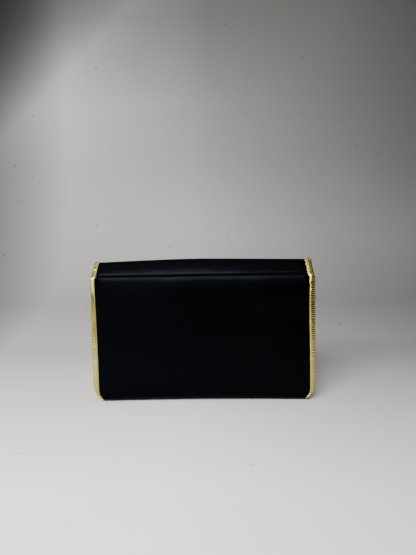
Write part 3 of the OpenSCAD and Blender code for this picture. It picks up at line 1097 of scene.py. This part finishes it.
def build_back():
    """The back wall with the rear half of the spine and of the base, and their lining."""
    on_back = stations(LINE, MID_BASE, ON_SPINE, spacing=1.8 * MM, fold_steps=14)
    us = on_back[:-1] + stations(LINE, ON_SPINE, ON_GROOVE, spacing=0.5 * MM, fold_steps=1)
    cover = panel("back_cover", us, back_half_width, back_levels, columns=100, free_sides=back_free_sides)
    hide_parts("back_satin", "back_wadding", "back_board", "base_satin", "base_board")
    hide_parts("ridge_fold_tape", "rear_fold_tape")
    bend_at_ridge(cover)
    lined = lining_stations(MID_BASE, MID_SPINE)
    inside = lining("back_inside", lined, back_half_width, 1.0 * MM)
    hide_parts("back_lining", "base_lining")
    declare_lining(lined)
    bend_at_ridge(inside)


def build_front():
    """The front wall with the front half of the base, and their lining."""
    tip = [HALF_T * share / FRONT_LENGTH for share in reversed(tip_shares())]
    below = [u for u in stations(LINE, 0, MID_BASE, spacing=1.8 * MM, fold_steps=10)
             if front_down(u) > 2 * HALF_T]
    cover = panel("front_cover", tip + below, front_half_width, front_levels, columns=90,
                  free_sides=front_free_sides)
    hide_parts("front_satin", "front_wadding", "front_board", "front_fold_tape")
    bend_at_front(cover)
    lined = [u for u in lining_stations(0, MID_BASE) if front_down(u) > FRONT_HEM + OFF_HEM]
    inside = lining("front_inside", lined, front_half_width, 2.5 * MM)
    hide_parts("front_lining")
    declare_lining(lined)
    bend_at_front(inside)


def build_bindings():
    """The gold bindings of the flap and the back wall, and their rows of stitches."""
    flap_us = stations(BOUND_LINE, BOUND_MID_SPINE, BOUND_END, spacing=0.35 * MM, fold_steps=12)
    flap_us = round_end(flap_us, BOUND_END, FLAP_LENGTH, NOSE)
    back_length = (RIDGE - BACK_EDGE).length
    back_us = stations(BOUND_LINE, 0, BOUND_MID_SPINE, spacing=0.35 * MM, fold_steps=16)[::-1]
    back_us = round_end(back_us, 0, back_length, NOSE)
    for side, word in ((-1, "left"), (1, "right")):
        flap = binding(f"flap_gold_{word}", flap_us, side, FLAP_LENGTH, False)
        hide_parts(f"flap_binding_{word}", f"spine_binding_{word}")
        bend_at_lip(flap)
        back = binding(f"back_gold_{word}", back_us, side, back_length, True)
        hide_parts(f"back_binding_{word}")
        bend_at_ridge(back)
        for face, place in ((-1, "outer"), (1, "inner")):
            row = binding_stitches(f"flap_stitches_{word}_{place}", flap_us[::3], side, FLAP_LENGTH, face)
            bend_at_lip(row)
            row = binding_stitches(f"back_stitches_{word}_{place}", back_us[::3], side, back_length, face)
            bend_at_ridge(row)


def build_gussets():
    """Builds each gusset and bakes its transform into its mesh."""
    for side, word in ((-1, "left"), (1, "right")):
        piece = gusset(side)
        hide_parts(f"gusset_{word}")
        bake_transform(piece)


def build_pocket():
    """The pocket, its tape and its stitches, which all stay with the back wall."""
    panel_cloth, tape, row = pocket_cloth(), pocket_binding(), pocket_stitches()
    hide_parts("pocket_panel")
    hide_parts("pocket_tape")
    for piece, slot in ((panel_cloth, "lining"), (tape, "gold_leather"), (row, "lining")):
        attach(piece, "body")


def build_snap():
    """The snap's two halves, each on its own panel."""
    flap_half, front_half = flap_snap(), front_snap()
    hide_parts("snap_plate", "snap_stud")
    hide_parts("snap_socket", "snap_magnet")
    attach(flap_half, "flap")
    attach(front_half, "front")


def finish_snap_backs():
    """The washers inside the panels keep their CAD shape, in bare steel."""
    for name in ("snap_plate_back", "snap_socket_back"):
        materials = frame["nodes"][name].data.materials
        materials.clear()
        materials.append(STEEL)


build_flap()
build_back()
build_front()
build_bindings()
build_gussets()
build_pocket()
build_snap()
finish_snap_backs()


# ---- Floor, backdrop and light ----

def backdrop_material():
    """Matt paper: a soft mottle, a few specks, and painted shade that darkens it from place to place, as the
    light falls off in the photograph.
    """
    n = Nodes("paper_sweep")
    n.set(Specular_IOR_Level=0.1)
    mottle = n.noise(6.0, 4.0)
    paper = n.ramp(mottle, [(0.3, (0.79, 0.78, 0.765)), (0.7, (0.83, 0.82, 0.805))])
    specks = n.ramp(n.noise(120.0, 1.0), [(0.20, (0.55, 0.55, 0.55)), (0.24, (1, 1, 1))])
    # Painted shade: each stop halves the paper's colour.
    colour = n.times(n.times(paper, specks), n.maths("POWER", 0.5, painted_shade_stops(n)))
    return n.done(colour, n.remap(mottle, 0.3, 0.7, 0.75, 0.9))


def painted_shade_stops(n):
    """How many stops of painted shade make the paper darker than the floor under the bag, from place to
    place.
    """
    axes = n.add("ShaderNodeSeparateXYZ")
    n.link(n.place, axes.inputs[0])
    x, y, z = (axes.outputs[axis] for axis in "XYZ")
    # Painted shade, in stops: on the floor in front, to the right, behind, upward, towards the top left
    # corner, at the foot of the wall and at its top.
    before = n.remap(y, -0.25, -0.58, 0.0, 3.6)
    right = n.remap(x, -0.03, 0.42, 0.0, 1.3)
    behind = n.maths("MULTIPLY", n.remap(y, -0.16, 0.16, 0.0, 1.0), n.remap(x, -0.46, -0.30, 2.5, 1.15))
    upward = n.maths("MULTIPLY", n.remap(z, 0.15, 0.66, 0.0, 1.0), n.remap(x, -0.28, 0.0, -0.25, 1.4))
    corner = n.remap(n.maths("SUBTRACT", z, n.maths("MULTIPLY", x, 0.9)), 0.76, 1.06, 0.0, 3.5)
    foot_of_wall = n.maths("ADD", n.remap(y, 0.20, 0.31, 0.0, 0.55), n.remap(y, 0.31, 0.46, 0.0, -0.45))
    top_of_wall = n.maths("MULTIPLY", n.remap(z, 0.43, 0.60, 0.0, 1.0), n.remap(x, -0.15, 0.25, 0.8, 0.0))
    stops = before
    for part in (right, behind, upward, corner, foot_of_wall, top_of_wall):
        stops = n.maths("ADD", stops, part)
    return stops


def make_sweep():
    """A floor that curves up into a wall behind the bag."""
    start, radius, top, half, steps = 0.16, 0.30, 2.2, 5.0, 24
    side_view = [(-3.0, 0.0), (-1.0, 0.0), (0.0, 0.0)]
    for k in range(steps + 1):
        angle = math.pi / 2 * k / steps
        side_view.append((start + radius * math.sin(angle), radius * (1 - math.cos(angle))))
    side_view.append((start + radius, top))
    verts = [(x, y, z) for y, z in side_view for x in (-half, half)]
    sweep = new_object("sweep", verts, grid_faces(len(side_view), 2, False), backdrop_material())


DAYLIGHT = (1.0, 0.985, 0.96)
WARM_LIGHT = (1.0, 0.98, 0.95)


def area_light(name, place, target, wide, tall, power, colour):
    """A soft light at a place, turned to face its target."""
    data = bpy.data.lights.new(name, "AREA")
    data.shape = "RECTANGLE"
    data.size, data.size_y = wide, tall
    data.energy = power
    data.color = colour
    light = bpy.data.objects.new(name, data)
    light.location = place
    light.rotation_euler = (Vector(target) - Vector(place)).to_track_quat("-Z", "Y").to_euler()
    bpy.context.scene.collection.objects.link(light)


def make_world():
    """A pale room that is darker in front of the bag, a little to its right."""
    world = bpy.data.worlds.new("room")
    world.use_nodes = True
    tree = world.node_tree
    facing = tree.nodes.new("ShaderNodeVectorMath")
    facing.operation = "DOT_PRODUCT"
    facing.inputs[1].default_value = (-0.3, 0.95, 0)  # away from the room's dark side
    tree.links.new(tree.nodes.new("ShaderNodeTexCoord").outputs["Generated"], facing.inputs[0])
    ahead = tree.nodes.new("ShaderNodeMapRange")
    for key, value in (("From Min", -0.95), ("From Max", -0.4), ("To Min", 0.03), ("To Max", 0.18)):
        ahead.inputs[key].default_value = value
    tree.links.new(facing.outputs["Value"], ahead.inputs["Value"])
    tree.nodes["Background"].inputs["Color"].default_value = (0.92, 0.95, 1.0, 1)
    tree.links.new(ahead.outputs["Result"], tree.nodes["Background"].inputs["Strength"])
    bpy.context.scene.world = world


make_sweep()
make_world()
area_light("window", (-0.35, -0.95, 0.95), (0, -0.12, 0.03), wide=1.1, tall=0.5, power=52, colour=DAYLIGHT)
area_light("ceiling", (-0.15, -0.2, 1.6), (0, -0.1, 0), wide=2.0, tall=1.4, power=8, colour=WARM_LIGHT)
area_light("doorway", (-0.74, -2.0, 0.25), (-0.1, 0, 0.12), wide=0.6, tall=0.35, power=1.8, colour=DAYLIGHT)
